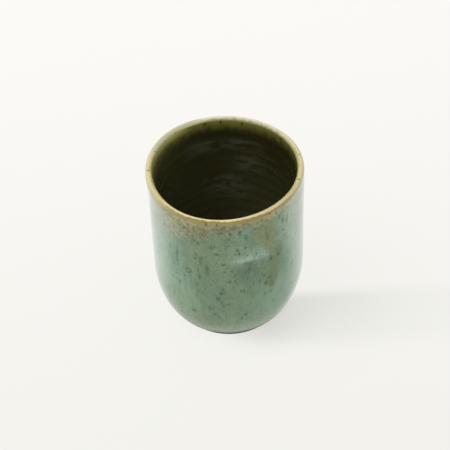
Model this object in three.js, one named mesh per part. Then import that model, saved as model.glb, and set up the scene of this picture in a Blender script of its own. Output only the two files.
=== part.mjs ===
// A hand-thrown stoneware tumbler with a thumb dent in its wall, in millimetres.
// +Z is up, the foot stands on z = 0 with the cup's axis on Z, and the dent lies right of the front, -Y.
// The fired clay body carries four fused glaze coats: sea green outside, a dark liner inside,
// an ochre band over the lip, and a pool in the recess under the foot.
import * as THREE from "three";
import { mergeGeometries, mergeVertices } from "three/addons/utils/BufferGeometryUtils.js";

// The whole cup, measured over its glaze
const CUP_HEIGHT = 98;
const RIM_DIAMETER = 80;
const LIP_THICKNESS = 3.6;
const WAIST_DRAW_IN = 0.3;
const WAIST_BELOW_RIM = 16;
const BELLY_HEIGHT = 34;
const BOWL_REACH = 18;

// The turned foot, left bare under the outer coat
const FOOT_DIAMETER = 57.6;
const FOOT_RING_WIDTH = 5;
const BARE_FOOT_HEIGHT = 2.2;
const FOOT_BEVEL = 0.3;
const RECESS_DEPTH = 2;
const RECESS_SLOPE = 1.5;

// The inside, measured over its glaze
const WALL_THICKNESS = 5;
const LIP_TAPER = 12;
const FLOOR_THICKNESS = 6.4;
const FLOOR_DIAMETER = 36;
const FLOOR_DISH = 0.6;
const INNER_BOWL_HEIGHT = 24;

// Throwing rings that the potter's fingers left in the inner wall
const RING_PITCH = 7;
const RING_DEPTH = 0.35;

// The glaze coats
const GLAZE_THICKNESS = 0.4;
const LIP_BAND_OUTSIDE = 3.2;
const LIP_BAND_INSIDE = 5;
const BASE_GLAZE_MARGIN = 1.5;

// The thumb dent, pressed through the wet wall under an arched edge that stayed crisp:
// where the arch stands, how deep the thumb went, and how far it lies flat and reaches on each side
const DENT_ANGLE = THREE.MathUtils.degToRad(17);
const DENT_ARCH_HEIGHT = 69.5;
const DENT_ARCH_RADIUS = 25;
const DENT_DEPTH = 2.2;
const DENT_SLOPE_HEIGHT = 10;
const DENT_FLAT_DOWN = 9;
const DENT_REACH_DOWN = 33;
const DENT_FLAT_LEFT = 3;
const DENT_REACH_LEFT = 15;
const DENT_FLAT_RIGHT = 5;
const DENT_REACH_RIGHT = 11.5;

// Facets: fine steps round the stretch that holds the dent, wider ones round the rest
const FINE_START = THREE.MathUtils.degToRad(-10);
const FINE_SWEEP = THREE.MathUtils.degToRad(50);
const FINE_STEPS = 14;
const WIDE_STEPS = 31;
const OUTER_BOWL_STEPS = 6;
const OUTER_WALL_STEPS = 13;
const LIP_STEPS = 6;
const INNER_BOWL_STEPS = 5;
const WELD = 1e-4;

// Radii and levels that follow from the sizes above; the belly is as wide as the rim
const rimRadius = RIM_DIAMETER / 2;
const lipRadius = LIP_THICKNESS / 2;
const lipLevel = CUP_HEIGHT - lipRadius;
const waistRadius = rimRadius - WAIST_DRAW_IN;
const waistLevel = CUP_HEIGHT - WAIST_BELOW_RIM;
const bellyRadius = rimRadius;
const footRadius = FOOT_DIAMETER / 2;
const floorRadius = FLOOR_DIAMETER / 2;
const floorLevel = RECESS_DEPTH - GLAZE_THICKNESS + FLOOR_THICKNESS;
const innerBowlLevel = floorLevel + INNER_BOWL_HEIGHT;
const outerBandLevel = CUP_HEIGHT - LIP_BAND_OUTSIDE;
const innerBandLevel = CUP_HEIGHT - LIP_BAND_INSIDE;

// Evenly spaced values from one end to the other, both ends included
function spaced(from, to, steps) {
  return Array.from({ length: steps + 1 }, (_, i) => THREE.MathUtils.lerp(from, to, i / steps));
}

// A size that eases from one level's value to another's, level at both
function eased(level, lowLevel, highLevel, lowSize, highSize) {
  const share = THREE.MathUtils.smoothstep(level, lowLevel, highLevel);
  return THREE.MathUtils.lerp(lowSize, highSize, share);
}

// The outside of the wall above the bowl: from the belly in to the waist and out to the rim
function wallRadius(level) {
  return level < waistLevel
    ? eased(level, BELLY_HEIGHT, waistLevel, bellyRadius, waistRadius)
    : eased(level, waistLevel, lipLevel, waistRadius, rimRadius);
}

// The inside of the wall: the outside less the wall, which thins in a short taper under the lip
function innerWallRadius(level) {
  return wallRadius(level) - eased(level, lipLevel - LIP_TAPER, lipLevel, WALL_THICKNESS, LIP_THICKNESS);
}

// The outside, from the edge of the glaze above the foot to the lip band: elliptical bowl, waisted wall
function outsideProfile() {
  const bowlCentre = bellyRadius - BOWL_REACH;
  const footTurn = Math.acos((footRadius - bowlCentre) / BOWL_REACH);
  const bowlDrop = (BELLY_HEIGHT - BARE_FOOT_HEIGHT) / Math.sin(footTurn);
  const bowl = new THREE.EllipseCurve(bowlCentre, BELLY_HEIGHT, BOWL_REACH, bowlDrop, -footTurn, 0);
  const levels = spaced(BELLY_HEIGHT, outerBandLevel, OUTER_WALL_STEPS).slice(1);
  const wall = levels.map((level) => new THREE.Vector2(wallRadius(level), level));
  return [...bowl.getPoints(OUTER_BOWL_STEPS), ...wall];
}

// The round of the lip, from its outer side over the top to its inner side
function lipProfile() {
  const lip = new THREE.EllipseCurve(rimRadius - lipRadius, lipLevel, lipRadius, lipRadius, 0, Math.PI);
  return lip.getPoints(LIP_STEPS);
}

// The inside, from the lip band down the ringed wall and the bowl to the middle of the dished floor
function insideProfile() {
  const ringSteps = Math.floor((2 * (innerBandLevel - innerBowlLevel)) / RING_PITCH);
  const wall = spaced(0, ringSteps, ringSteps).map((step) => {
    const drop = (step * RING_PITCH) / 2;
    const groove = (RING_DEPTH * (1 - Math.cos((2 * Math.PI * drop) / RING_PITCH))) / 2;
    const level = innerBandLevel - drop;
    return new THREE.Vector2(innerWallRadius(level) + groove, level);
  });
  const bowlReach = innerWallRadius(innerBowlLevel) - floorRadius;
  const bowl = new THREE.EllipseCurve(
    floorRadius, innerBowlLevel, bowlReach, INNER_BOWL_HEIGHT, 0, -Math.PI / 2, true);
  const middle = new THREE.Vector2(0, floorLevel - FLOOR_DISH);
  return [...wall, ...bowl.getPoints(INNER_BOWL_STEPS).slice(1), middle];
}

// A profile moved into the clay by a depth, square to its run; its last point stays on the axis
function inset(profile, depth) {
  const last = profile.length - 1;
  return profile.map((point, i) => {
    if (i === last) return new THREE.Vector2(0, point.y - depth);
    const along = profile[i + 1].clone().sub(profile[Math.max(i - 1, 0)]).normalize();
    return new THREE.Vector2(point.x - along.y * depth, point.y + along.x * depth);
  });
}

// How far the thumb pushed the wall in at a place: a curved slope under the arch, then a slow fade to nothing
function pushedIn(angle, level) {
  const across = (angle - DENT_ANGLE) * bellyRadius;
  const below = DENT_ARCH_HEIGHT - across ** 2 / (2 * DENT_ARCH_RADIUS) - level;
  const slope = THREE.MathUtils.clamp(below / DENT_SLOPE_HEIGHT, 0, 1);
  const downwards = 1 - THREE.MathUtils.smoothstep(below, DENT_FLAT_DOWN, DENT_REACH_DOWN);
  const leftwards = 1 - THREE.MathUtils.smoothstep(-across, DENT_FLAT_LEFT, DENT_REACH_LEFT);
  const rightwards = 1 - THREE.MathUtils.smoothstep(across, DENT_FLAT_RIGHT, DENT_REACH_RIGHT);
  return DENT_DEPTH * slope * (2 - slope) * downwards * leftwards * rightwards;
}

// A surface swept from a profile round the axis, with the dent pressed into it
function sweep(profile) {
  const fine = new THREE.LatheGeometry(profile, FINE_STEPS, FINE_START, FINE_SWEEP);
  const fineEnd = FINE_START + FINE_SWEEP;
  const wide = new THREE.LatheGeometry(profile, WIDE_STEPS, fineEnd, 2 * Math.PI - FINE_SWEEP);
  const surface = mergeGeometries([fine, wide]).rotateX(Math.PI / 2);
  const place = surface.getAttribute("position");
  for (let i = 0; i < place.count; i += 1) {
    const radius = Math.hypot(place.getX(i), place.getY(i));
    const angle = Math.atan2(place.getX(i), -place.getY(i));
    const dented = radius - pushedIn(angle, place.getZ(i));
    place.setXY(i, dented * Math.sin(angle), -dented * Math.cos(angle));
  }
  return surface;
}

// The same surface seen from behind
function turnedOver(surface) {
  const index = surface.getIndex().array;
  for (let i = 0; i < index.length; i += 3) [index[i], index[i + 1]] = [index[i + 1], index[i]];
  return surface;
}

// One closed solid from the surfaces that bound it, without the slivers that close up on the axis
function solid(name, surfaces, material) {
  const joined = mergeGeometries(surfaces).deleteAttribute("normal").deleteAttribute("uv");
  const welded = mergeVertices(joined, WELD);
  const corners = welded.getIndex().array;
  const kept = [];
  for (let i = 0; i < corners.length; i += 3) {
    const [a, b, c] = corners.slice(i, i + 3);
    if (a !== b && b !== c && c !== a) kept.push(a, b, c);
  }
  welded.setIndex(kept);
  welded.computeVertexNormals();
  const mesh = new THREE.Mesh(welded, new THREE.MeshStandardMaterial(material));
  mesh.name = name;
  return mesh;
}

// The finished section in one run, foot to lip to floor, and the clay's own section under the glaze
const outside = outsideProfile();
const lip = lipProfile();
const glazed = [...outside, ...lip, ...insideProfile()];
const clay = inset(glazed, GLAZE_THICKNESS);
const bandStart = outside.length - 1;
const bandEnd = outside.length + lip.length;
const footEdge = clay[0].x;
const ringOuter = footEdge - FOOT_BEVEL;
const ringInner = ringOuter - FOOT_RING_WIDTH;
const recessRadius = ringInner - RECESS_SLOPE;

// Fired stoneware: wall, floor and foot ring in one thrown and turned piece
function clayBody() {
  const underside = [
    new THREE.Vector2(0, RECESS_DEPTH),
    new THREE.Vector2(recessRadius, RECESS_DEPTH),
    new THREE.Vector2(ringInner, 0),
    new THREE.Vector2(ringOuter, 0),
    new THREE.Vector2(footEdge, FOOT_BEVEL),
  ];
  const material = { color: 0x8a7460, roughness: 0.9, metalness: 0 };
  return solid("clay_body", [sweep([...underside, ...clay])], material);
}

// A glaze coat fused on a stretch of the clay: its face, its back on the clay, and its two edges
function coat(name, start, end, material) {
  const face = sweep(glazed.slice(start, end + 1));
  const back = turnedOver(sweep(clay.slice(start, end + 1)));
  const startEdge = sweep([clay[start], glazed[start]]);
  const endEdge = turnedOver(sweep([clay[end], glazed[end]]));
  return solid(name, [face, back, startEdge, endEdge], material);
}

// The glaze pooled on the flat ceiling of the foot's recess
function baseGlaze() {
  const edge = recessRadius - BASE_GLAZE_MARGIN;
  const face = RECESS_DEPTH - GLAZE_THICKNESS;
  const pool = [
    new THREE.Vector2(0, face),
    new THREE.Vector2(edge - GLAZE_THICKNESS, face),
    new THREE.Vector2(edge, RECESS_DEPTH),
    new THREE.Vector2(0, RECESS_DEPTH),
  ];
  return solid("base_glaze", [sweep(pool)], { color: 0x6d7f6b, roughness: 0.25, metalness: 0 });
}

const cup = new THREE.Group();
cup.add(clayBody());
cup.add(coat("outer_glaze", 0, bandStart, { color: 0x80967f, roughness: 0.2, metalness: 0 }));
cup.add(coat("lip_glaze", bandStart, bandEnd, { color: 0xc9b878, roughness: 0.25, metalness: 0 }));
cup.add(coat("liner_glaze", bandEnd, glazed.length - 1, { color: 0x24230f, roughness: 0.12, metalness: 0 }));
cup.add(baseGlaze());

export default cup;
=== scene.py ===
import math

import bpy
import numpy as np
from mathutils import Matrix, Vector


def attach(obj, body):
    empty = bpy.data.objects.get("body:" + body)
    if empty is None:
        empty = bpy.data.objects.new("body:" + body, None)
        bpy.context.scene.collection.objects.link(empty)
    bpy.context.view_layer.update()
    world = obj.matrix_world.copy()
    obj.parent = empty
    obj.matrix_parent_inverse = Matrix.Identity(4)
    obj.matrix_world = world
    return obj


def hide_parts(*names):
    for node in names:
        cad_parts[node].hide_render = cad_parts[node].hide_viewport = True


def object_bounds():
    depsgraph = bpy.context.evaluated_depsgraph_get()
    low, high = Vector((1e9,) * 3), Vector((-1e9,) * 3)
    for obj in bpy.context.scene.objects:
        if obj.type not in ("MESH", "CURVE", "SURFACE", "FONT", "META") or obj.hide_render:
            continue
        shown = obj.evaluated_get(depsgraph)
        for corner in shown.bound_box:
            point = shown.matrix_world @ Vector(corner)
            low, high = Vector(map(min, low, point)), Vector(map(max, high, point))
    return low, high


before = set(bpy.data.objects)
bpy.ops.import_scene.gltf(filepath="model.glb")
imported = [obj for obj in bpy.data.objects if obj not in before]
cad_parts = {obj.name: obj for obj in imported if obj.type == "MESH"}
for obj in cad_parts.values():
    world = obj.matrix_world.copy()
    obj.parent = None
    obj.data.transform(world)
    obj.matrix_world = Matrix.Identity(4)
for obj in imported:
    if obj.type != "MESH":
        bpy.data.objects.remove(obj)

cad_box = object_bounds()

# Clay body: a stoneware cup thrown on a wheel, with a foot ring turned out of its base.
# A thumb pressed one dent into the soft wall before it dried.
# After the glazing only the foot ring is left bare.
cup_height = cad_box[1].z - cad_box[0].z
rim_radius = (cad_box[1].x - cad_box[0].x) / 2
lip_thickness = 0.0036
lip_round = lip_thickness / 2
lip_level = cup_height - lip_round
waist_drop = 0.016
waist_level = cup_height - waist_drop
waist_draw_in = 0.0003
waist_radius = rim_radius - waist_draw_in
belly_level = 0.034
belly_radius = rim_radius
foot_level = 0.0022
foot_radius = 0.0288
bowl_reach = 0.018
bowl_drop = (belly_level - foot_level) / math.sqrt(1 - (1 - (belly_radius - foot_radius) / bowl_reach) ** 2)

wall_thickness = 0.005
lip_taper = 0.012
inner_bowl_level = 0.032
floor_level = 0.008
floor_radius = 0.018
floor_dish = 0.0006

glaze_thickness = 0.0004
foot_ring_inside = 0.0231
foot_ring_outside = 0.0281
foot_bevel = 0.0003
foot_rounding = 0.0003
recess_level = 0.002
recess_radius = 0.0216

wall_row = 0.0011
bowl_rows = 34
lip_rows = 16
floor_rows = 12
columns = 240


def eased(value, start, end):
    """A smooth step from 0 at start to 1 at end."""
    share = np.clip((value - start) / (end - start), 0, 1)
    return share * share * (3 - 2 * share)


def wall_radius(level):
    """The outside of the glazed wall above the belly."""
    waisted = belly_radius + (waist_radius - belly_radius) * eased(level, belly_level, waist_level)
    return waisted + (rim_radius - waist_radius) * eased(level, waist_level, lip_level)


def inside_radius(level):
    """The inside of the glazed wall, which thins just below the lip."""
    thinning = eased(level, lip_level - lip_taper, lip_level)
    return wall_radius(level) - wall_thickness - (lip_thickness - wall_thickness) * thinning


def arc(centre, reach, start, end, steps):
    """Points along an ellipse about a centre, given as (radius, level), from one turn to another."""
    turns = np.linspace(start, end, steps + 1)
    return [(centre[0] + reach[0] * math.cos(t), centre[1] + reach[1] * math.sin(t)) for t in turns]


def wall_levels(start, end):
    """Even steps along the wall, one for each row of its mesh."""
    return np.linspace(start, end, round(abs(end - start) / wall_row) + 1)


def outside_line():
    """The glazed outside, from the edge at the foot up to the lip."""
    foot_turn = -math.asin((belly_level - foot_level) / bowl_drop)
    bowl = arc((belly_radius - bowl_reach, belly_level), (bowl_reach, bowl_drop), foot_turn, 0, bowl_rows)
    return bowl + [(float(wall_radius(z)), float(z)) for z in wall_levels(belly_level, lip_level)[1:]]


def lip_line():
    """The glazed lip, a half circle from the outside over the top to the inside."""
    return arc((rim_radius - lip_round, lip_level), (lip_round, lip_round), 0, math.pi, lip_rows)


def inside_line():
    """The glazed inside, from the lip down to the middle of the floor."""
    wall = [(float(inside_radius(z)), float(z)) for z in wall_levels(lip_level, inner_bowl_level)]
    reach = float(inside_radius(inner_bowl_level)) - floor_radius
    drop = inner_bowl_level - floor_level
    bowl = arc((floor_radius, inner_bowl_level), (reach, drop), 0, -math.pi / 2, bowl_rows)
    shares = np.linspace(1, 0, floor_rows + 1)
    floor = [(floor_radius * s, floor_level - floor_dish * (1 - s * s)) for s in shares]
    return wall + bowl[1:] + floor[1:]


def inset(line, depth):
    """A line moved by a depth to the left of the way it runs; ends on the axis stay there."""
    points = np.array(line)
    ways = np.gradient(points, axis=0)
    ways /= np.linalg.norm(ways, axis=1)[:, None]
    moved = points + depth * np.stack([-ways[:, 1], ways[:, 0]], 1)
    moved[points[:, 0] < 1e-9, 0] = 0
    return [tuple(map(float, p)) for p in moved]


def rounded(corners, radius, steps=4):
    """A broken line whose inner corners are softened by short curves."""
    line = [corners[0]]
    for before, corner, after in zip(corners, corners[1:], corners[2:]):
        before, corner, after = Vector(before), Vector(corner), Vector(after)
        start = corner + (before - corner).normalized() * radius
        end = corner + (after - corner).normalized() * radius
        for step in range(steps + 1):
            t = step / steps
            line.append(tuple(start * (1 - t) ** 2 + corner * 2 * t * (1 - t) + end * t * t))
    return line + [corners[-1]]


def turned(name, section, closed=False):
    """A piece spun about the wheel's axis from a section of (radius, level) points.

    The section is drawn out point by point, from a plane merged to its middle.
    """
    bpy.ops.object.select_all(action="DESELECT")
    bpy.ops.mesh.primitive_plane_add(size=0.001)
    piece = bpy.context.object
    piece.name = piece.data.name = name
    bpy.ops.object.mode_set(mode="EDIT")
    bpy.ops.mesh.select_all(action="SELECT")
    bpy.ops.mesh.merge(type="CENTER")
    points = section + section[:1] if closed else section
    bpy.ops.transform.translate(value=(0, -points[0][0], points[0][1]))
    for (r0, z0), (r1, z1) in zip(points, points[1:]):
        bpy.ops.mesh.extrude_region_move(TRANSFORM_OT_translate={"value": (0, r0 - r1, z1 - z0)})
    bpy.ops.mesh.select_all(action="SELECT")
    bpy.ops.mesh.spin(steps=columns, angle=2 * math.pi, center=(0, 0, 0), axis=(0, 0, 1))
    bpy.ops.mesh.select_all(action="SELECT")
    bpy.ops.mesh.remove_doubles(threshold=1e-6)
    bpy.ops.mesh.normals_make_consistent(inside=False)
    bpy.ops.object.mode_set(mode="OBJECT")
    return piece


def round_from_front(degrees):
    """How far round the wall an angle is from the front, which faces the camera."""
    return math.radians(degrees) * belly_radius


dent_middle = round_from_front(17)
dent_depth = 0.0022
dent_crest_level = 0.0695
dent_crest_bend = 20.0
dent_slope = 0.010
dent_fade_start, dent_fade_end = 0.009, 0.033
dent_left_start, dent_left_end = 0.003, 0.015
dent_right_start, dent_right_end = 0.005, 0.0115
crest_rise = 0.00025
crest_width = 0.004
finger_place = (round_from_front(39), 0.088)
finger_reach = (0.0155, 0.020)
finger_depth = 0.0005
finger_slope = 0.3
finger_right_start, finger_right_end = 0.022, 0.031
finger_top_start, finger_top_end = 0.082, 0.092


def dent(across, level):
    """How far the thumb and a finger beside it pushed the soft wall in."""
    aside = across - dent_middle
    down = dent_crest_level - dent_crest_bend * aside ** 2 - level
    left = 1 - eased(-aside, dent_left_start, dent_left_end)
    right = 1 - eased(aside, dent_right_start, dent_right_end)
    slope = 1 - (1 - np.clip(down / dent_slope, 0, 1)) ** 2
    thumb = dent_depth * slope * (1 - eased(down, dent_fade_start, dent_fade_end))
    crest = crest_rise * np.exp(-(down / crest_width) ** 2)

    round_share = (across - finger_place[0]) / finger_reach[0]
    up_share = (level - finger_place[1]) / finger_reach[1]
    inwards = (1 - np.hypot(round_share, up_share)) / finger_slope
    finger = finger_depth * (1 - (1 - np.clip(inwards, 0, 1)) ** 2)
    finger = finger * (1 - eased(across, finger_right_start, finger_right_end))
    finger = finger * (1 - eased(level, finger_top_start, finger_top_end))
    return (thumb - crest) * left * right + finger


ring_pitch = 0.007
ring_depth = 0.00009
rings_start, rings_full = 0.012, 0.022
rings_fade, rings_end = 0.082, 0.092


def throwing_rings(angle, level):
    """The spiral that the fingers leave inside the wall."""
    wave = np.cos(2 * np.pi * level / ring_pitch + angle)
    rising = eased(level, rings_start, rings_full)
    return ring_depth * wave * rising * (1 - eased(level, rings_fade, rings_end))


# How the hands left the rim out of round: lobes to a turn, height of a lobe in metres, and phase.
rim_lobes = [
    (1, 0.00026, 2.6), (2, 0.00015, -0.3), (3, 0.00042, 2.6), (4, 0.00011, -2.0), (7, 0.00003, 0.0),
]
lobes_start = 0.070
belly_lean = 0.0003
belly_lean_start, belly_lean_full, belly_lean_fade = 0.045, 0.080, 0.086
foot_lean = -0.0005
foot_lean_fade, foot_lean_end = 0.012, 0.045


def wobble(angle, level):
    """How far the wall strays from a true circle: the rim is lobed, the belly and the foot lean aside."""
    lobed = sum(height * np.sin(count * angle + phase) for count, height, phase in rim_lobes)
    belly = belly_lean * eased(level, belly_lean_start, belly_lean_full)
    belly = belly * (1 - eased(level, belly_lean_fade, lip_level))
    foot = foot_lean * (1 - eased(level, foot_lean_fade, foot_lean_end))
    return lobed * eased(level, lobes_start, lip_level) + (belly + foot) * np.sin(angle)


untouched_radius = 0.02
sharp_edge = math.radians(40)


def handled(piece):
    """Gives a turned piece its wobble, its dent and the rings inside, smooth but for sharp edges."""
    points = np.empty(len(piece.data.vertices) * 3)
    piece.data.vertices.foreach_get("co", points)
    points = points.reshape(-1, 3)
    radius = np.hypot(points[:, 0], points[:, 1])
    angle = np.arctan2(points[:, 0], -points[:, 1])
    level = points[:, 2]
    middle = wall_radius(level) - wall_thickness / 2
    inner = (radius < middle) & (level > floor_level - floor_dish - glaze_thickness)
    change = wobble(angle, level) - dent(angle * belly_radius, level)
    change += np.where(inner, throwing_rings(angle, level), 0)
    scale = 1 + np.where(radius > untouched_radius, change / np.maximum(radius, 1e-6), 0)
    points[:, 0] *= scale
    points[:, 1] *= scale
    piece.data.vertices.foreach_set("co", points.ravel())
    piece.data.update()
    bpy.ops.object.select_all(action="DESELECT")
    piece.select_set(True)
    bpy.context.view_layer.objects.active = piece
    bpy.ops.object.shade_smooth_by_angle(angle=sharp_edge)
    return piece


def seen(red, green, blue):
    """A colour named as it looks on a screen, from 0 to 255, as the light that a shader takes."""
    shares = np.array([red, green, blue]) / 255
    light = np.where(shares <= 0.04045, shares / 12.92, ((shares + 0.055) / 1.055) ** 2.4)
    return (*map(float, light), 1.0)


def add_node(tree, kind, inputs, **settings):
    """A shader node with its settings and inputs; an input that is another node's output is linked."""
    made = tree.nodes.new("ShaderNode" + kind)
    for name, value in settings.items():
        setattr(made, name, value)
    for key, value in inputs.items():
        if isinstance(value, bpy.types.NodeSocket):
            tree.links.new(value, made.inputs[key])
        else:
            made.inputs[key].default_value = value
    return made


def calc(tree, operation, *values):
    """One sum, such as ADD or MAXIMUM, on some values."""
    return add_node(tree, "Math", dict(enumerate(values)), operation=operation).outputs[0]


def times(tree, product, *factors):
    """A value multiplied by one factor after another."""
    for factor in factors:
        product = calc(tree, "MULTIPLY", product, factor)
    return product


def fade(tree, value, start, end, low=0.0, high=1.0):
    """A smooth change from low to high as a value goes from start to end."""
    inputs = {"Value": value, "From Min": start, "From Max": end, "To Min": low, "To Max": high}
    return add_node(tree, "MapRange", inputs, interpolation_type="SMOOTHSTEP").outputs[0]


def over(tree, share, under, top):
    """One colour laid over another by a share."""
    return add_node(tree, "Mix", {0: share, 6: under, 7: top}, data_type="RGBA").outputs[2]


def tinted(tree, colour, tint, value, start, end, share=1.0):
    """A tint laid over a colour, from none of it to a share, as a value goes from start to end."""
    return over(tree, fade(tree, value, start, end, 0.0, share), colour, tint)


def ramp(tree, value, stops):
    """A colour that changes with a value, such as a level or a turn, between the stops given."""
    low, high = stops[0][0], stops[-1][0]
    share = add_node(tree, "MapRange", {"Value": value, "From Min": low, "From Max": high}).outputs[0]
    made = add_node(tree, "ValToRGB", {0: share})
    marks = made.color_ramp.elements
    for stop, _ in stops[1:-1]:
        marks.new((stop - low) / (high - low))
    for mark, (_, colour) in zip(marks, stops):
        mark.color = colour
    return made.outputs[0]


def place(tree):
    """Where a point of the piece lies in the cup."""
    return add_node(tree, "TexCoord", {}).outputs["Object"]


def along_axes(tree, point):
    """How far a point lies to the right, to the back and up."""
    return tuple(add_node(tree, "SeparateXYZ", {0: point}).outputs)


def stretched(tree, point, factors, shift=(0, 0, 0)):
    """The same place with its axes scaled and moved, so that a pattern is drawn out or differs."""
    inputs = {"Vector": point, "Location": shift, "Scale": factors}
    return add_node(tree, "Mapping", inputs).outputs[0]


def cloud(tree, point, size, detail=2.0, roughness=0.5):
    """Soft noise from 0 to 1 whose lumps are about as wide as size."""
    inputs = {"Vector": point, "Scale": 1 / size, "Detail": detail, "Roughness": roughness}
    return add_node(tree, "TexNoise", inputs).outputs[0]


def specks(tree, point, spacing, smallest, largest, share):
    """Round grains scattered about a spacing apart; share is how many of them there are."""
    inputs = {"Vector": point, "Scale": 1 / spacing, "Randomness": 1.0}
    cells = add_node(tree, "TexVoronoi", inputs)
    chance = add_node(tree, "SeparateColor", {0: cells.outputs["Color"]})
    size = fade(tree, chance.outputs[1], 0, 1, smallest / spacing, largest / spacing)
    there = calc(tree, "LESS_THAN", chance.outputs[0], share)
    nearness = calc(tree, "DIVIDE", cells.outputs["Distance"], size)
    return times(tree, there, fade(tree, nearness, 1.15, 0.55))


def new_material(name, **sockets):
    """A material with one main shader, whose even values are set on its own sockets."""
    material = bpy.data.materials.new(name)
    material.use_nodes = True
    shader = material.node_tree.nodes["Principled BSDF"]
    for key, value in sockets.items():
        shader.inputs[key.replace("_", " ")].default_value = value
    return material, material.node_tree, shader


def set_bump(tree, shader, height, distance):
    """Makes a surface uneven by a height from 0 to 1, times a distance in metres."""
    bump = add_node(tree, "Bump", {"Height": height, "Distance": distance, "Strength": 1.0})
    tree.links.new(bump.outputs[0], shader.inputs["Normal"])


clay_line = inset(outside_line() + lip_line()[1:] + inside_line()[1:], glaze_thickness)[::2]
clay_line[-1] = (0.0, clay_line[-1][1])
foot_corners = [(0.0, recess_level), (recess_radius, recess_level), (foot_ring_inside, 0.0),
                (foot_ring_outside, 0.0), (foot_ring_outside + foot_bevel, foot_bevel), clay_line[0]]
fired_clay = handled(turned("fired_clay", rounded(foot_corners, foot_rounding) + clay_line[1:]))

clay_dark = seen(92, 76, 60)
clay_pale = seen(118, 99, 79)
clay_iron = seen(84, 60, 42)
painted_shade_on_foot = seen(58, 58, 46)

stoneware, tree, shader = new_material("stoneware", Roughness=0.85, Specular_IOR_Level=0.2)
point = place(tree)
*_, level = along_axes(tree, point)
body_colour = over(tree, cloud(tree, point, 0.006, 4), clay_dark, clay_pale)
body_colour = over(tree, specks(tree, point, 0.0024, 0.0002, 0.0006, 0.5), body_colour, clay_iron)
# Painted shade darkens the top of the bare foot, under the glaze's edge.
body_colour = tinted(tree, body_colour, painted_shade_on_foot, level, 0.0002, 0.0016, 0.75)
tree.links.new(body_colour, shader.inputs["Base Color"])
set_bump(tree, shader, cloud(tree, point, 0.0006, 4, 0.7), 0.00012)
fired_clay.data.materials.append(stoneware)
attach(fired_clay, "root")
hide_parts("clay_body")

# Liner: a dark olive glaze poured in and out again, so glossy and thick that it looks black.
# It thins just below the lip, where a band of clear olive shows.
liner_start = 0.093


def coat(name, line, back):
    """A closed shell of glaze between its surface and the clay that it lies on."""
    return handled(turned(name, line + back[::-1], closed=line[-1][0] > 0))


def split(line, level):
    """The two parts of a line on either side of a level."""
    for index, (upper, lower) in enumerate(zip(line, line[1:])):
        if (upper[1] - level) * (lower[1] - level) <= 0:
            share = (upper[1] - level) / (upper[1] - lower[1])
            cut = (upper[0] + (lower[0] - upper[0]) * share, level)
            return line[:index + 1] + [cut], [cut] + line[index + 1:]


inside_band, inside_rest = split(inside_line(), liner_start)
dark_liner = coat("dark_liner", inside_rest, inset(inside_rest, glaze_thickness))

# The liner's colour by its level in metres: painted light makes it paler towards the floor, and at the lip
# it runs thin and olive.
liner_colour_and_painted_light = [
    (0.010, seen(112, 110, 74)), (0.050, seen(77, 77, 47)), (0.0885, seen(42, 42, 20)),
    (0.0905, seen(44, 43, 21)), (0.092, seen(68, 67, 30)), (0.0935, seen(94, 92, 42)),
    (0.095, seen(120, 118, 52)), (0.0965, seen(134, 132, 66)),
]
# Painted grey sheen on the far wall of the liner, and one patch of rust: middle and reach in metres, and
# colour.
liner_sheen_and_rust = {
    "painted grey sheen, low": (((0.001, 0.0355, 0.051), (0.013, 0.03, 0.010)), seen(112, 114, 96)),
    "painted grey sheen, right": (((0.012, 0.034, 0.068), (0.009, 0.03, 0.007)), seen(96, 98, 80)),
    "painted grey sheen, left": (((-0.011, 0.034, 0.081), (0.010, 0.03, 0.006)), seen(86, 88, 72)),
    "painted grey sheen, high": (((0.006, 0.034, 0.082), (0.012, 0.03, 0.004)), seen(84, 86, 68)),
    "rust": (((-0.003, 0.0355, 0.068), (0.006, 0.03, 0.004)), seen(78, 62, 22)),
}
pale_olive = seen(242, 237, 150)
brown_ridge = seen(92, 88, 64)
rust_cloud = seen(76, 60, 32)
painted_shade_at_right = seen(34, 30, 8)
painted_light_at_left = seen(104, 104, 62)


def unrolled(tree, point):
    """The wall laid flat: how far round from the front, and how high."""
    aside, back, level = along_axes(tree, point)
    angle = calc(tree, "ARCTAN2", aside, times(tree, back, -1))
    return add_node(tree, "CombineXYZ", {0: times(tree, angle, belly_radius), 1: level}).outputs[0]


def on_wall(angle, level):
    """A point of the unrolled wall."""
    return (round_from_front(angle), level, 0)


def wandering(tree, spot, point, size, amount):
    """A place moved about by noise, so that what is drawn there has uneven edges."""
    noise = add_node(tree, "TexNoise", {"Vector": point, "Scale": 1 / size, "Detail": 2.0})
    centred = add_node(tree, "VectorMath", {0: noise.outputs[1], 1: (0.5, 0.5, 0.5)}, operation="SUBTRACT")
    inputs = {0: centred.outputs[0], 1: (amount, amount, 0), 2: spot}
    return add_node(tree, "VectorMath", inputs, operation="MULTIPLY_ADD").outputs[0]


def distance(tree, spot, centre, reach=(1, 1, 1)):
    """How far a place is from a centre, counted in reaches."""
    shares = tuple(1 / r for r in reach)
    start = tuple(-c / r for c, r in zip(centre, reach))
    away = add_node(tree, "VectorMath", {0: spot, 1: shares, 2: start}, operation="MULTIPLY_ADD").outputs[0]
    return add_node(tree, "VectorMath", {0: away}, operation="LENGTH").outputs["Value"]


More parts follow.
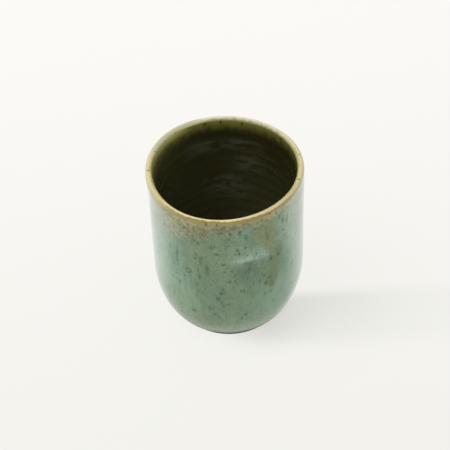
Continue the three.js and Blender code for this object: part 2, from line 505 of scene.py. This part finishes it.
def poured_colour(tree, point):
    """Clear olive just below the lip, paler at the left, near black below but paler towards the floor by
    painted light, brown over the rings, with painted grey sheen on the far wall, painted light at the left
    and painted shade at the right.
    """
    aside, *_ = along_axes(tree, point)
    across, level, _ = along_axes(tree, unrolled(tree, point))
    ragged = cloud(tree, stretched(tree, point, (1, 1, 0.25)), 0.0022, 4, 0.6)
    height = calc(tree, "ADD", level, fade(tree, ragged, 0.25, 0.75, -0.0008, 0.0008))
    height = calc(tree, "ADD", height, fade(tree, aside, -0.012, -0.030, 0, 0.0016))
    colour = ramp(tree, height, liner_colour_and_painted_light)
    pale = times(tree, fade(tree, aside, -0.014, -0.028), fade(tree, level, 0.0922, 0.0965, 0, 0.95))
    colour = over(tree, pale, colour, pale_olive)

    turn = calc(tree, "DIVIDE", across, belly_radius)
    wave = calc(tree, "ADD", times(tree, level, 2 * math.pi / ring_pitch), turn)
    wave = calc(tree, "ADD", wave, fade(tree, cloud(tree, point, 0.012, 2), 0.2, 0.8, -1.0, 1.0))
    ridges = fade(tree, calc(tree, "COSINE", wave), -0.2, -1.0, 0, 0.4)
    patchy = fade(tree, cloud(tree, stretched(tree, point, (1, 1, 2)), 0.02, 3), 0.4, 0.65)
    ridges = times(tree, ridges, patchy, fade(tree, level, 0.092, 0.086))
    colour = over(tree, ridges, colour, brown_ridge)
    rusty = fade(tree, cloud(tree, point, 0.02, 3), 0.5, 0.72, 0, 0.5)
    rusty = times(tree, rusty, fade(tree, level, 0.088, 0.08))
    colour = over(tree, rusty, colour, rust_cloud)
    # Painted shade darkens the liner towards the right, and painted light lightens it towards the left.
    colour = tinted(tree, colour, painted_shade_at_right, aside, 0.006, 0.034, 0.3)
    colour = tinted(tree, colour, painted_light_at_left, aside, -0.010, -0.034, 0.25)

    strayed = wandering(tree, point, point, 0.008, 0.016)
    broken = fade(tree, cloud(tree, stretched(tree, point, (1, 1, 1.8)), 0.006, 4, 0.6), 0.35, 0.6)
    # The grey patches are painted sheen; the rust is the glaze's own colour.
    for patch, sheen_or_rust_colour in liner_sheen_and_rust.values():
        share = fade(tree, distance(tree, strayed, *patch), 1.4, 0.2, 0, 0.75)
        colour = over(tree, times(tree, share, broken), colour, sheen_or_rust_colour)
    return colour


dark_glaze, tree, shader = new_material("dark_glaze", Roughness=0.2, IOR=1.5)
point = place(tree)
tree.links.new(poured_colour(tree, point), shader.inputs["Base Color"])
set_bump(tree, shader, cloud(tree, point, 0.007, 2), 0.0004)
dark_liner.data.materials.append(dark_glaze)
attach(dark_liner, "root")
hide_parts("liner_glaze")

# Outer coat: a sea-green glaze that the cup was dipped in, upside down, up to the foot.
# It broke into teal, olive and pale clouds in the fire, with dark specks of iron from the clay.
# Where fingers held the wet glaze it is thin and olive; in the dent it pooled dark, with painted shade,
# under a pale crest with a painted highlight.
lip_band_depth = 0.0032
lip_start = cup_height - lip_band_depth
outside_rest, outside_band = split(outside_line(), lip_start)
sea_green_coat = coat("sea_green_coat", outside_rest, inset(outside_rest, glaze_thickness))

deep_green = seen(113, 139, 107)
sea_green = seen(125, 154, 124)
teal_cloud = seen(131, 168, 150)
olive_cloud = seen(135, 149, 113)
painted_floor_light = seen(158, 178, 142)
foot_shade = seen(80, 84, 62)
ochre_edge = seen(142, 133, 76)

# Angle from the front in degrees, level in metres, reach round and reach up in metres, colour, strength.
sea_green_washes_and_painted_reflections = {
    "teal at the left": (-60, 0.062, 0.026, 0.044, seen(130, 172, 152), 0.6),
    "olive at the front": (-12, 0.074, 0.024, 0.034, seen(126, 144, 107), 0.55),
    "pale green low at the left": (-38, 0.032, 0.018, 0.022, seen(146, 172, 134), 0.55),
    "grey green at the front": (-12, 0.046, 0.014, 0.026, seen(114, 139, 118), 0.4),
    "straw under the dent": (4, 0.042, 0.012, 0.018, seen(129, 147, 113), 0.4),
    "teal low at the right": (38, 0.030, 0.022, 0.024, seen(138, 175, 154), 0.5),
    "teal at the right": (60, 0.066, 0.024, 0.050, seen(120, 163, 140), 0.65),
    "pale high at the right": (48, 0.088, 0.013, 0.018, seen(172, 194, 170), 0.7),
    "grey high at the left": (-58, 0.090, 0.013, 0.010, seen(140, 150, 114), 0.5),
    "pale at the left": (-43, 0.046, 0.012, 0.015, seen(152, 180, 154), 0.45),
    "pale low at the right": (42, 0.040, 0.018, 0.016, seen(160, 188, 164), 0.45),
    "pale beside the streak": (45, 0.073, 0.008, 0.013, seen(164, 190, 168), 0.65),
    "pale above the crest": (6, 0.076, 0.010, 0.008, seen(148, 170, 144), 0.45),
    "pale over the dent": (9, 0.089, 0.008, 0.008, seen(146, 170, 146), 0.4),
    # The two below are painted reflections at the cup's lower edges.
    "painted reflection low at the right": (38, 0.019, 0.018, 0.014, seen(154, 187, 165), 0.5),
    "painted reflection low at the left": (-48, 0.017, 0.020, 0.015, seen(154, 184, 160), 0.5),
}

drawn_down = (1, 1, 0.45)


def clouded(tree, point):
    """Green that broke into teal and olive clouds, with broad washes and painted reflections low at the
    sides, paler towards the foot by painted light from the floor, and painted shade at its lowest edge.
    """
    *_, level = along_axes(tree, point)
    broad = cloud(tree, stretched(tree, point, drawn_down), 0.02, 3)
    colour = over(tree, fade(tree, broad, 0.3, 0.7), deep_green, sea_green)
    teal = cloud(tree, stretched(tree, point, (1, 1, 0.4), (0.3, 0.1, 0.2)), 0.02, 3)
    colour = tinted(tree, colour, teal_cloud, teal, 0.52, 0.72, 0.4)
    olive = cloud(tree, stretched(tree, point, (1, 1, 0.6), (0.7, 0.4, 0.6)), 0.016, 3)
    colour = tinted(tree, colour, olive_cloud, olive, 0.52, 0.75, 0.4)

    spot = wandering(tree, unrolled(tree, point), point, 0.009, 0.012)
    for angle, height, round_reach, up_reach, wash_or_reflection, share in sea_green_washes_and_painted_reflections.values():
        away = distance(tree, spot, on_wall(angle, height), (round_reach, up_reach, 1))
        colour = tinted(tree, colour, wash_or_reflection, away, 1, 0.1, share)
    # Painted light from the bright floor pales the glaze towards the foot.
    colour = tinted(tree, colour, painted_floor_light, level, 0.034, 0.005, 0.6)
    # Painted shade darkens the lowest glaze by the foot.
    return tinted(tree, colour, foot_shade, level, 0.0040, 0.0026, 0.65)


# Marks of the thumb and the fingers: middle on the wall, and reach in metres.
crest_wedge = (on_wall(22.5, 0.0715), (0.012, 0.0095, 1))
crest_line = (on_wall(12, 0.0703), (0.0105, 0.0030, 1))
dent_pool_and_shade = (on_wall(13.5, 0.0605), (0.0115, 0.0135, 1))
finger_patch = ((*finger_place, 0), (*finger_reach, 1))
finger_streak = (on_wall(34.5, 0.058), (0.0050, 0.0175, 1))
streak_level = 0.057
streak_lean = 0.26
# The pale crest is partly a painted highlight, and the dark pool below it partly painted shade.
pale_wedge_and_painted_highlight = seen(154, 187, 165)
pale_line_and_painted_highlight = seen(174, 202, 184)
dark_pool_and_painted_shade = seen(89, 118, 94)
held_olive = seen(139, 150, 97)
streak_olive = seen(116, 135, 89)


def finger_marks(tree, point, colour):
    """Pale glaze with a painted highlight on the dent's crest, pooled glaze with painted shade below it, and
    thin olive where fingers held the wet cup.
    """
    spot = wandering(tree, unrolled(tree, point), point, 0.005, 0.003)
    across, level, _ = along_axes(tree, spot)
    bend = calc(tree, "POWER", calc(tree, "SUBTRACT", across, dent_middle), 2)
    crest = calc(tree, "SUBTRACT", dent_crest_level, times(tree, bend, dent_crest_bend))
    down = calc(tree, "SUBTRACT", crest, level)

    wedge_and_highlight = fade(tree, distance(tree, spot, *crest_wedge), 1, 0.2)
    wedge_and_highlight = times(tree, wedge_and_highlight, fade(tree, down, 0.0035, -0.002), 0.9)
    colour = over(tree, wedge_and_highlight, colour, pale_wedge_and_painted_highlight)
    colour = tinted(tree, colour, pale_line_and_painted_highlight, distance(tree, spot, *crest_line), 1.2, 0.1, 0.8)
    pool_and_shade = fade(tree, distance(tree, spot, *dent_pool_and_shade), 1, 0.2)
    pool_and_shade = times(tree, pool_and_shade, fade(tree, down, -0.001, 0.006), 0.62)
    colour = over(tree, pool_and_shade, colour, dark_pool_and_painted_shade)

    held = wandering(tree, unrolled(tree, point), point, 0.004, 0.0018)
    finger = fade(tree, distance(tree, held, *finger_patch), 1.04, 0.88)
    finger = times(tree, finger, fade(tree, across, 0.029, 0.023), 0.75)
    colour = over(tree, finger, colour, held_olive)
    lean = times(tree, calc(tree, "SUBTRACT", level, streak_level), streak_lean)
    leaning = add_node(tree, "CombineXYZ", {0: calc(tree, "SUBTRACT", across, lean), 1: level}).outputs[0]
    return tinted(tree, colour, streak_olive, distance(tree, leaning, *finger_streak), 1.05, 0.6, 0.75)


dark_blotch = seen(93, 118, 88)
pale_blotch = seen(146, 173, 143)
dark_streak = seen(93, 116, 88)


def blotched(tree, point, colour):
    """Small darker and paler blotches, and thin dark streaks that run down the wall."""
    blotches = cloud(tree, stretched(tree, point, (1, 1, 0.7), (0.2, 0.5, 0.1)), 0.0036, 4, 0.6)
    colour = tinted(tree, colour, dark_blotch, blotches, 0.48, 0.72, 0.4)
    colour = tinted(tree, colour, pale_blotch, blotches, 0.48, 0.26, 0.4)
    streaks = cloud(tree, stretched(tree, point, (1, 1, 0.12), (0.4, 0.3, 0)), 0.0018, 3)
    return tinted(tree, colour, dark_streak, streaks, 0.52, 0.75, 0.35)


tan_front = seen(177, 167, 118)
tan_left = seen(186, 181, 145)
tan_far_left = seen(150, 150, 112)
tan_right = seen(200, 194, 154)
brown_row = seen(110, 101, 68)
brown_dots = seen(92, 83, 50)
band_slant = (-0.30, 0.04, 1)


def tan_band(tree, point, colour):
    """A ragged tan band below the lip, broad at the left, with a brown row and brown dots in it."""
    aside, _, level = along_axes(tree, point)
    ragged = fade(tree, cloud(tree, point, 0.005, 4), 0.25, 0.75, -0.003, 0.003)
    slant = add_node(tree, "VectorMath", {0: point, 1: band_slant}, operation="DOT_PRODUCT").outputs["Value"]
    slant = calc(tree, "ADD", slant, ragged)
    broad = fade(tree, slant, 0.0845, 0.0990)
    narrow = fade(tree, calc(tree, "ADD", level, times(tree, ragged, 0.4)), 0.0895, 0.0970)
    band = calc(tree, "MAXIMUM", broad, narrow)
    soft_edge = times(tree, fade(tree, slant, 0.0790, 0.0985), fade(tree, aside, -0.012, -0.022))
    soft_band = calc(tree, "MAXIMUM", soft_edge, band)

    tan_grain = cloud(tree, stretched(tree, point, (1, 1, 0.8)), 0.0019, 4, 0.6)
    mottled = calc(tree, "ADD", soft_band, fade(tree, tan_grain, 0.25, 0.75, -0.35, 0.35))
    tan = times(tree, fade(tree, mottled, 0.05, 1.0, 0, 0.84), fade(tree, soft_band, 0, 0.4))
    tan = times(tree, tan, fade(tree, aside, -0.036, -0.025, 0.4, 1))
    tan_colour = tinted(tree, tan_front, tan_left, aside, -0.012, -0.030)
    tan_colour = tinted(tree, tan_colour, tan_right, aside, 0.010, 0.026)
    tan_colour = tinted(tree, tan_colour, tan_far_left, aside, -0.025, -0.033)
    colour = over(tree, tan, colour, tan_colour)

    row = times(tree, fade(tree, band, 0.3, 0.65), fade(tree, level, 0.0972, 0.0940))
    row = times(tree, row, fade(tree, cloud(tree, point, 0.003, 3), 0.36, 0.62, 0.1, 0.52))
    row = times(tree, row, fade(tree, aside, -0.029, -0.010), fade(tree, aside, 0.016, -0.004, 0.35, 1))
    colour = over(tree, row, colour, brown_row)
    dots = cloud(tree, stretched(tree, point, (1, 1, 0.7), (0.5, 0.2, 0.8)), 0.0016, 2)
    dots = calc(tree, "ADD", dots, fade(tree, band, 0, 0.5, -0.26, 0.05))
    dots = calc(tree, "SUBTRACT", dots, fade(tree, level, 0.0945, 0.0972, 0, 0.08))
    dots = calc(tree, "SUBTRACT", dots, fade(tree, aside, 0.010, 0.026, 0, 0.07))
    return tinted(tree, colour, brown_dots, dots, 0.46, 0.68, 0.55)


dark_grain = seen(74, 94, 64)
fine_dark_grain = seen(68, 88, 58)
fine_pale_grain = seen(158, 183, 154)
small_iron = seen(62, 80, 50)


def grained(tree, point, colour):
    """The fine grain of the fired glaze, calmer low on the wall, and its smallest specks of iron."""
    *_, level = along_axes(tree, point)
    calm = fade(tree, level, 0.03, 0.075, 0.5, 1)
    soft_grain = cloud(tree, point, 0.0011, 3, 0.6)
    share = times(tree, fade(tree, soft_grain, 0.5, 0.76, 0, 0.45), calm)
    colour = over(tree, share, colour, dark_grain)
    fine_grain = cloud(tree, stretched(tree, point, (1, 1, 0.6), (0.9, 0.3, 0.5)), 0.0007, 2, 0.7)
    share = times(tree, fade(tree, fine_grain, 0.52, 0.75, 0, 0.4), calm)
    colour = over(tree, share, colour, fine_dark_grain)
    share = times(tree, fade(tree, fine_grain, 0.48, 0.25, 0, 0.35), calm)
    colour = over(tree, share, colour, fine_pale_grain)
    small = specks(tree, stretched(tree, point, (1, 1, 0.7)), 0.0026, 0.0003, 0.0008, 0.55)
    dense = fade(tree, cloud(tree, stretched(tree, point, drawn_down), 0.012, 2), 0.4, 0.62, 0.2, 0.6)
    return over(tree, times(tree, small, dense), colour, small_iron)


# Specks that show from the front: angle in degrees, level in millimetres,
# then half width and half height, counted in speck_width and speck_height.
iron_specks = [
    (-48, 70, 0.5, 1.2), (-41, 68.5, 0.7, 2.2), (-41, 63, 0.5, 1.2), (-25.5, 70, 0.9, 0.8),
    (-24.5, 72.5, 0.7, 1.0), (-21, 70.5, 0.9, 0.9), (-21.4, 67, 0.5, 1.0), (-17, 64.8, 0.9, 1.2),
    (-16.4, 61.2, 0.9, 1.5), (-22, 88, 0.9, 0.9), (-25, 84.5, 0.7, 0.9), (-22, 82, 0.6, 1.0),
    (-30, 86, 0.8, 0.7), (-12.5, 80, 0.8, 0.9), (-10, 81, 0.5, 0.5), (-9, 75.8, 0.9, 0.7),
    (6, 78, 0.7, 0.8), (7.2, 75.4, 0.5, 0.8), (-5, 68, 0.6, 0.6), (-4, 63, 0.5, 0.6),
    (2, 62.4, 0.4, 0.5), (6.2, 62, 0.5, 0.6), (12.6, 86, 0.7, 1.2), (0, 86.4, 0.6, 0.7),
    (1.5, 90, 0.7, 0.8), (8, 90.6, 0.8, 0.7), (-5, 91, 0.8, 0.6), (-0.2, 55, 1.0, 1.0),
    (3, 58.6, 0.5, 0.7), (3.4, 54.6, 0.5, 0.6), (-6, 49.8, 0.7, 0.8), (-7.4, 46.8, 1.1, 0.8),
    (-4.5, 47.5, 0.5, 1.0), (-9.6, 42.4, 1.0, 1.2), (-7.4, 39.6, 0.7, 0.9), (-6, 37.2, 0.7, 1.0),
    (-2.2, 38.4, 0.7, 0.6), (-25, 46.4, 0.8, 1.3), (-25, 50.4, 0.6, 1.2), (-21.4, 45, 0.9, 0.6),
    (-26.4, 42.4, 0.7, 1.0), (-23, 57.4, 0.5, 1.6), (-23.4, 62, 0.4, 1.4), (-16.6, 34.2, 0.9, 1.2),
    (-14, 34.4, 0.6, 0.9), (-13, 30, 0.8, 0.9), (-10, 27, 0.9, 1.0), (-6.2, 33, 0.6, 0.9),
    (-8, 23, 0.5, 1.5), (-29, 29, 0.9, 1.0), (14.4, 36.8, 0.7, 0.6), (9.6, 28.8, 0.8, 0.8),
    (7.2, 25.8, 0.6, 0.8), (26, 40.4, 0.8, 0.7), (30.6, 40.6, 0.9, 0.7), (27.4, 47.4, 1.1, 0.8),
    (32.4, 45.4, 1.1, 1.2), (30.4, 51, 0.9, 0.6), (26.4, 53, 0.9, 0.8), (23, 50.2, 1.0, 0.6),
    (28.4, 85, 0.5, 2.6), (30, 80.6, 0.6, 1.0), (40, 90.8, 0.8, 0.9), (43, 87.4, 0.8, 0.9),
    (47, 85, 0.6, 1.2), (53, 50, 0.9, 0.8), (-40, 47.6, 0.7, 1.0), (-47, 36, 0.6, 1.2),
    (-35, 54, 0.5, 0.7), (38, 65, 0.8, 0.9), (11.4, 66.9, 0.9, 0.8), (15.6, 65.2, 1.3, 1.3),
    (15, 60.4, 0.6, 1.8), (31.5, 65, 0.7, 1.2), (10, 46.6, 0.5, 0.8), (-66, 55, 0.7, 0.9),
    (66, 62, 0.7, 0.8), (75, 40, 0.8, 0.9), (-78, 74, 0.8, 0.9), (-84, 44, 0.7, 1.0),
]
millimetre = 0.001
speck_width = 0.0008
speck_height = 0.0011
burst_angle, burst_level, burst_radius = -31.4, 0.0595, 0.0015
large_iron = seen(58, 77, 50)
burst_iron = seen(70, 84, 58)
furthest = 4.0


def nearest(tree, spot, marks):
    """How far a place is from the nearest of some oval marks, counted in their reaches."""
    field = furthest
    for angle, level, half_width, half_height in marks:
        away = distance(tree, spot, on_wall(angle, level), (half_width, half_height, 1))
        field = calc(tree, "MINIMUM", away, field)
    return field


def iron_marks(tree, point, colour):
    """Large specks of iron, strewn at the back and placed at the front, and one burst to a ring."""
    _, back, level = along_axes(tree, point)
    strewn = specks(tree, stretched(tree, point, (1, 1, 0.8), (0.3, 0.6, 0.2)), 0.0065, 0.0006, 0.0013, 0.5)
    strewn = times(tree, strewn, fade(tree, back, -0.010, 0.012, 0, 0.5))
    colour = over(tree, strewn, colour, large_iron)

    spot = wandering(tree, unrolled(tree, point), point, 0.0016, 0.0016)
    uneven = fade(tree, cloud(tree, point, 0.0011, 2), 0.25, 0.75, -0.5, 0.5)
    marks = [(angle, height * millimetre, width * speck_width, tall * speck_height)
             for angle, height, width, tall in iron_specks]
    field = calc(tree, "ADD", nearest(tree, spot, marks), uneven)
    strong = fade(tree, cloud(tree, point, 0.008, 2), 0.35, 0.65, 0.4, 0.75)
    placed = times(tree, fade(tree, field, 2.5, 0.2), strong, fade(tree, level, 0.03, 0.07, 0.75, 1))
    colour = over(tree, placed, colour, large_iron)
    ring = calc(tree, "SUBTRACT", distance(tree, spot, on_wall(burst_angle, burst_level)), burst_radius)
    ring = calc(tree, "ADD", calc(tree, "ABSOLUTE", ring), times(tree, uneven, 0.0006))
    return tinted(tree, colour, burst_iron, ring, 0.0012, 0.0, 0.6)


def dipped_colour(tree, point):
    """The whole outer coat, from its clouds to its specks, with an ochre edge where it meets the lip."""
    colour = clouded(tree, point)
    for layer in (finger_marks, blotched, tan_band, grained, iron_marks):
        colour = layer(tree, point, colour)
    *_, level = along_axes(tree, point)
    return tinted(tree, colour, ochre_edge, level, 0.0961, 0.0975)


sea_green_glaze, tree, shader = new_material("sea_green_glaze", Roughness=0.25, IOR=1.5, Coat_Weight=1.0,
                                             Coat_Roughness=0.1, Coat_IOR=1.5)
point = place(tree)
tree.links.new(dipped_colour(tree, point), shader.inputs["Base Color"])
set_bump(tree, shader, cloud(tree, point, 0.004, 3), 0.0001)
sea_green_coat.data.materials.append(sea_green_glaze)
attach(sea_green_coat, "root")
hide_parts("outer_glaze")

# Lip band: where the two coats meet over the lip they run thin and break to ochre.
# It is glaze fused to the rounded lip, paler on its top, with a painted highlight along the top at the front
# and a painted reflection at the back.
band_line = outside_band + lip_line()[1:] + inside_band[1:]
lip_band = coat("lip_band", band_line, inset(band_line, glaze_thickness))

# Colours over the lip by the turn in degrees: 0 is its outside, 90 its top and 180 its inside.
# The cream over the top at the front is a painted highlight, and the pale at the back partly a painted
# reflection.
lip_front_and_painted_highlight = [
    (0, seen(146, 139, 90)), (30, seen(146, 134, 72)), (45, seen(140, 118, 44)), (58, seen(150, 128, 58)),
    (68, seen(204, 186, 120)), (80, seen(234, 218, 166)), (118, seen(228, 213, 164)),
    (135, seen(190, 176, 124)), (155, seen(126, 120, 70)), (180, seen(96, 94, 46)),
]
lip_sides = [
    (0, seen(201, 196, 157)), (40, seen(200, 190, 142)), (62, seen(210, 196, 142)),
    (80, seen(223, 208, 152)), (100, seen(213, 198, 139)), (118, seen(187, 173, 113)),
    (140, seen(166, 157, 102)), (160, seen(148, 142, 88)), (180, seen(136, 132, 78)),
]
lip_back_and_painted_reflection = [
    (20, seen(214, 210, 184)), (70, seen(228, 224, 204)), (92, seen(226, 223, 200)),
    (112, seen(216, 212, 182)), (128, seen(202, 198, 158)), (145, seen(158, 155, 104)),
    (162, seen(126, 124, 68)), (180, seen(116, 114, 58)),
]
lip_left_back = [
    (20, seen(200, 195, 160)), (70, seen(196, 191, 154)), (92, seen(192, 187, 147)),
    (115, seen(190, 185, 140)), (140, seen(194, 190, 138)), (160, seen(205, 201, 142)),
    (180, seen(208, 204, 138)),
]
dull_gold = seen(150, 134, 80)
dull_olive = seen(150, 138, 84)
iron_tick = seen(60, 52, 22)
lip_blend = 0.0009

# Angle from the front and turn over the lip in degrees, half width in metres, half turn in degrees.
lip_ticks = [
    (-166, 196, 0.0011, 26), (-179, 186, 0.0007, 38), (163, 196, 0.0008, 28), (125, 198, 0.0008, 30),
    (-90, 92, 0.0006, 42), (71, 82, 0.0005, 32), (-15, 14, 0.0006, 40), (-7.3, 14, 0.0005, 32),
    (-139, 150, 0.0005, 26), (31, 20, 0.0005, 28), (-112, 116, 0.0004, 26), (60, 126, 0.0004, 22),
    (98, 84, 0.0004, 26), (142, 40, 0.0005, 30), (-151, 20, 0.0006, 34), (176, 30, 0.0005, 30),
]


def ticked(tree, point, turn, colour):
    """Short dark runs of iron on either side of the lip."""
    inner = times(tree, calc(tree, "LESS_THAN", turn, -90), 360)
    turn = calc(tree, "RADIANS", calc(tree, "ADD", turn, inner))
    across, *_ = along_axes(tree, unrolled(tree, point))
    laid = add_node(tree, "CombineXYZ", {0: across, 1: times(tree, turn, lip_round)}).outputs[0]
    spot = wandering(tree, laid, point, 0.0012, 0.0008)
    marks = [(a, math.radians(t) * lip_round, w, math.radians(h) * lip_round) for a, t, w, h in lip_ticks]
    return tinted(tree, colour, iron_tick, nearest(tree, spot, marks), 1.5, 0.3, 0.65)


def lip_colour(tree, point):
    """A painted cream highlight over an ochre edge at the front, gold at the sides, and pale at the back,
    partly a painted reflection.
    """
    aside, back, level = along_axes(tree, point)
    flat = add_node(tree, "VectorMath", {0: point, 1: (1, 1, 0)}, operation="MULTIPLY").outputs[0]
    from_axis = add_node(tree, "VectorMath", {0: flat}, operation="LENGTH").outputs["Value"]
    outwards = calc(tree, "SUBTRACT", from_axis, rim_radius - lip_round)
    turn = calc(tree, "DEGREES", calc(tree, "ARCTAN2", calc(tree, "SUBTRACT", level, lip_level), outwards))
    stray = fade(tree, cloud(tree, point, 0.0022, 3), 0.25, 0.75, -10, 10)
    uneven_turn = calc(tree, "ADD", turn, stray)

    colour = over(tree, fade(tree, back, 0.008, 0.034), ramp(tree, uneven_turn, lip_sides),
                  ramp(tree, uneven_turn, lip_back_and_painted_reflection))
    left_back = times(tree, fade(tree, aside, -0.006, -0.017), fade(tree, back, 0.004, 0.020))
    colour = over(tree, left_back, colour, ramp(tree, uneven_turn, lip_left_back))
    colour = tinted(tree, colour, dull_gold, back, -0.004, -0.022, 0.25)
    colour = tinted(tree, colour, ramp(tree, uneven_turn, lip_front_and_painted_highlight), back, -0.016, -0.036)
    right_front = times(tree, fade(tree, aside, 0.004, 0.020), fade(tree, back, -0.012, -0.030), 0.35)
    colour = over(tree, right_front, colour, dull_olive)

    inner_side = poured_colour(tree, point)
    outer_side = dipped_colour(tree, point)
    below = over(tree, fade(tree, outwards, -0.0005, 0.0005), inner_side, outer_side)
    colour = over(tree, fade(tree, level, lip_level, lip_level + lip_blend), below, colour)
    return ticked(tree, point, turn, colour)


ochre_glaze, tree, shader = new_material("ochre_glaze", Roughness=0.25, IOR=1.5, Coat_Weight=1.0,
                                         Coat_Roughness=0.1, Coat_IOR=1.5)
point = place(tree)
tree.links.new(lip_colour(tree, point), shader.inputs["Base Color"])
set_bump(tree, shader, cloud(tree, point, 0.004, 3), 0.0001)
lip_band.data.materials.append(ochre_glaze)
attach(lip_band, "root")
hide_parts("lip_glaze")

# Foot pool: the thin coat of glaze that settled in the recess under the foot ring.
# It keeps its rolled edge a little way off the ring.
pool_radius = 0.02
pool_rounding = 0.00018
pool_level = recess_level - glaze_thickness
pool_edge = rounded([(0.0, pool_level), (pool_radius, pool_level), (pool_radius, recess_level),
                     (0.0, recess_level)], pool_rounding)
foot_pool = turned("foot_pool", pool_edge)
bpy.ops.object.shade_smooth_by_angle(angle=sharp_edge)

pool_dark = seen(106, 124, 104)
pool_pale = seen(132, 150, 130)
pool_iron = seen(72, 76, 60)

base_glaze, tree, shader = new_material("base_glaze", Roughness=0.2, IOR=1.5)
point = place(tree)
pool_colour = tinted(tree, pool_dark, pool_pale, cloud(tree, point, 0.008, 3), 0.35, 0.65)
pool_colour = over(tree, specks(tree, point, 0.0032, 0.0003, 0.0008, 0.4), pool_colour, pool_iron)
tree.links.new(pool_colour, shader.inputs["Base Color"])
set_bump(tree, shader, cloud(tree, point, 0.004, 2), 0.0002)
foot_pool.data.materials.append(base_glaze)
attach(foot_pool, "root")
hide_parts("base_glaze")

# Studio: a wide pale floor in soft light from all around, with one broad lamp high on the left.
# The floor is pale by itself where the camera sees it, and keeps the cup's shadow beside the cup.
# The camera looks down on the cup, from as far off as the photograph was taken.
floor_size = 8
floor_near = seen(242, 241, 236)
floor_far = seen(252, 251, 247)
floor_glow = 0.91
shadow_share = 0.32

bpy.ops.object.select_all(action="DESELECT")
bpy.ops.mesh.primitive_plane_add(size=floor_size)
studio_floor = bpy.context.object
studio_floor.name = "studio_floor"
floor_paint, tree, shader = new_material("floor_paint", Roughness=1.0, Specular_IOR_Level=0.0)
point = place(tree)
aside, depth, _ = along_axes(tree, point)
away = distance(tree, point, (0, 0, 0))
floor_colour = tinted(tree, floor_near, floor_far, depth, -0.25, 0.35)
tree.links.new(floor_colour, shader.inputs["Base Color"])

# In the glaze the floor mirrors darker in front of the cup than behind it.
ray = add_node(tree, "LightPath", {})
mirrored = ray.outputs["Is Glossy Ray"]
close_by = fade(tree, away, 0.060, 0.036, 0, 0.53)
behind = fade(tree, depth, -0.038, 0.006, 0.38, 1)
in_glaze = calc(tree, "MAXIMUM", close_by, behind)
in_glaze = times(tree, in_glaze, fade(tree, away, 0.0296, 0.0340, 0.3, 1))
dimmed = times(tree, mirrored, calc(tree, "SUBTRACT", 1, in_glaze))
glow = add_node(tree, "Emission", {"Color": floor_colour, "Strength": calc(tree, "SUBTRACT", 1, dimmed)})

# The cup's shadow lies in a soft lane to its right.
shadow_lane = times(tree, fade(tree, depth, 0.003, -0.008), fade(tree, depth, -0.046, -0.030))
shadow_lane = times(tree, shadow_lane, fade(tree, aside, -0.01, 0.025))
glow_share = calc(tree, "SUBTRACT", floor_glow, times(tree, shadow_lane, shadow_share))
glow_share = times(tree, glow_share, fade(tree, away, 0.0268, 0.0288), ray.outputs["Is Camera Ray"])
glow_share = calc(tree, "MAXIMUM", glow_share, mirrored)
floor_mix = add_node(tree, "MixShader", {0: glow_share, 1: shader.outputs[0], 2: glow.outputs[0]})
tree.links.new(floor_mix.outputs[0], tree.nodes["Material Output"].inputs["Surface"])
studio_floor.data.materials.append(floor_paint)

air_strength = 0.70
world = bpy.data.worlds.new("studio_air")
bpy.context.scene.world = world
world.use_nodes = True
air = world.node_tree.nodes["Background"]
air.inputs["Color"].default_value = (1, 1, 1, 1)
air.inputs["Strength"].default_value = air_strength

lamp_place = Vector((-0.6, -0.15, 1.1))
lamp_aim = Vector((0, 0, 0.05))
lamp = bpy.data.lights.new("broad_lamp", "AREA")
lamp.shape = "SQUARE"
lamp.size = 0.7
lamp.energy = 6
lamp_object = bpy.data.objects.new("broad_lamp", lamp)
bpy.context.collection.objects.link(lamp_object)
lamp_object.location = lamp_place
lamp_object.visible_glossy = False
lamp_object.rotation_euler = (lamp_aim - lamp_place).to_track_quat("-Z", "Y").to_euler()

camera_elevation = math.radians(45.78)
camera_roll = math.radians(-3.13)
camera_target = Vector((-0.00123, 0, 0.05573))
camera_distance = 0.65
focal_pixels = 1238.6
picture_pixels = 450
back = Vector((0, -math.cos(camera_elevation), math.sin(camera_elevation)))
level_right = Vector((1, 0, 0))
level_up = back.cross(level_right)
right = level_right * math.cos(camera_roll) + level_up * math.sin(camera_roll)
up = back.cross(right)
lens = bpy.data.cameras.new("camera")
lens.sensor_width = 36
lens.lens = focal_pixels / picture_pixels * lens.sensor_width
camera = bpy.data.objects.new("camera", lens)
bpy.context.collection.objects.link(camera)
camera_turn = Matrix((right, up, back)).transposed().to_4x4()
camera.matrix_world = Matrix.Translation(camera_target + back * camera_distance) @ camera_turn
bpy.context.scene.camera = camera
bpy.context.scene.view_settings.view_transform = "Standard"
